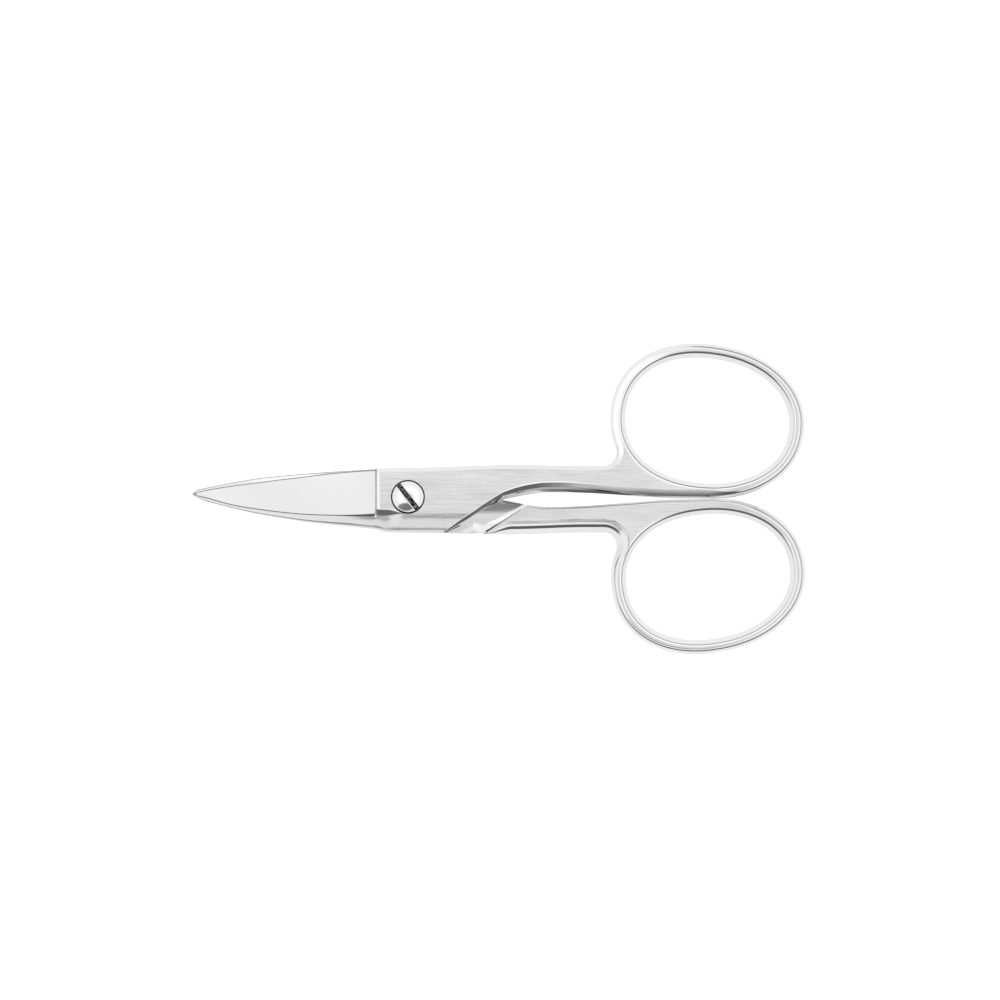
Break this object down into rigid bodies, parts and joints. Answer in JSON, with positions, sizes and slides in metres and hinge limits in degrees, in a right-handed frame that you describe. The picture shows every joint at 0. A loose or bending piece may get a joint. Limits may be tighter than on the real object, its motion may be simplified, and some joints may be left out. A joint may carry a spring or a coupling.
{
  "type": "nail scissors",
  "caption": "Curved nail scissors: two steel halves with polished blades and oval finger rings, crossing on a slotted pivot screw.",
  "frame": {"origin": "on the pivot axis, in the flat outer face of the rear half, where the pivot screw ends flush", "axes": "+X along the scissors towards the finger rings, +Y towards the front half's ring, +Z along the pivot axis towards the screw's slotted head"},
  "size_m": [0.0898, 0.046, 0.0065],
  "materials": {
    "satin_steel": "fine lengthwise satin grain on the handles, mirror polish on the blades",
    "polished_steel": "polished, slightly domed head with a cut slot"
  },
  "bodies": {
    "rear": {"rear_half": "satin_steel", "pivot_screw": "polished_steel"},
    "front": {"front_half": "satin_steel"}
  },
  "joints": [
    {"name": "pivot", "type": "hinge", "parent": "rear", "child": "front", "pos_m": [0, 0, 0.0019], "axis": [0, 0, 1], "range_deg": [0, 110]}
  ]
}
